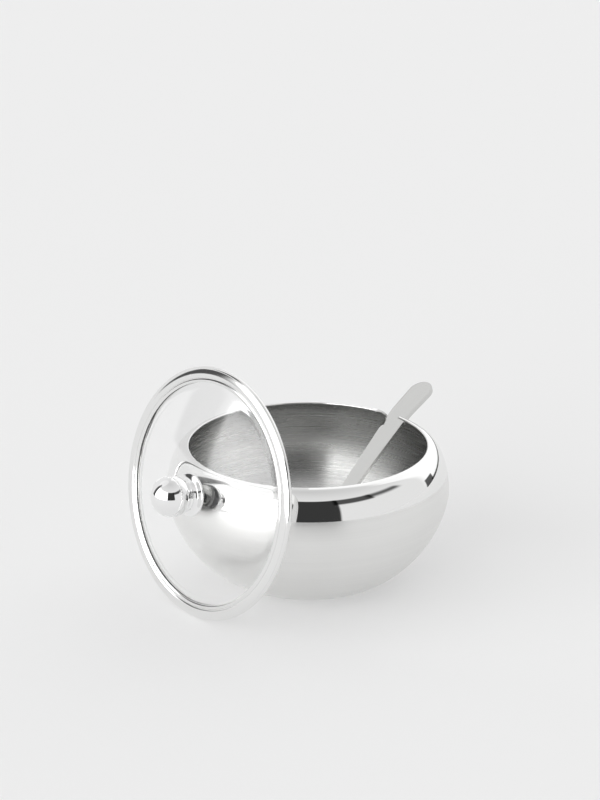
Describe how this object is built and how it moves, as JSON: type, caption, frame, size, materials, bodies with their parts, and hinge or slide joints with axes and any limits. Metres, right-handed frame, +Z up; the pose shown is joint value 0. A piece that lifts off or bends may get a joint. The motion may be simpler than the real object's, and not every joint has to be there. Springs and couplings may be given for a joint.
{
  "type": "sugar bowl with lid and spoon",
  "caption": "Round rolled-shoulder steel bowl with a rim notch, a spoon standing in it and a domed glass lid with a steel band and ball knob leaning on its side.",
  "frame": {"origin": "centre of the bowl's flat base, on the surface it stands on", "axes": "+Z up along the bowl's axis; the spoon's handle leaves towards +X +Y; the lid leans on the -X -Y side"},
  "size_m": [0.1376, 0.1368, 0.103],
  "materials": {
    "bowl_steel": "satin below, mirror-polished shoulder, brushed inside",
    "spoon_steel": "polished",
    "lid_glass": "clear",
    "band_steel": "satin",
    "knob_chrome": "mirror-polished",
    "seal": "matte",
    "fastener_steel": "plain"
  },
  "bodies": {
    "bowl": {"bowl": "bowl_steel"},
    "spoon": {"spoon": "spoon_steel"},
    "lid": {"lid_glass": "lid_glass", "lid_band": "band_steel", "knob": "knob_chrome", "knob_base": "knob_chrome", "outer_seal": "seal", "inner_seal": "seal", "steel_washer": "fastener_steel", "knob_screw": "fastener_steel"}
  },
  "joints": [
    {"name": "spoon_lift", "type": "slide", "parent": "bowl", "child": "spoon", "axis": [0, 0, 1], "range_m": [0, 0.09]},
    {"name": "lid_take_away", "type": "slide", "parent": "bowl", "child": "lid", "axis": [-0.4707, -0.4035, 0.7846], "range_m": [0, 0.12]}
  ]
}
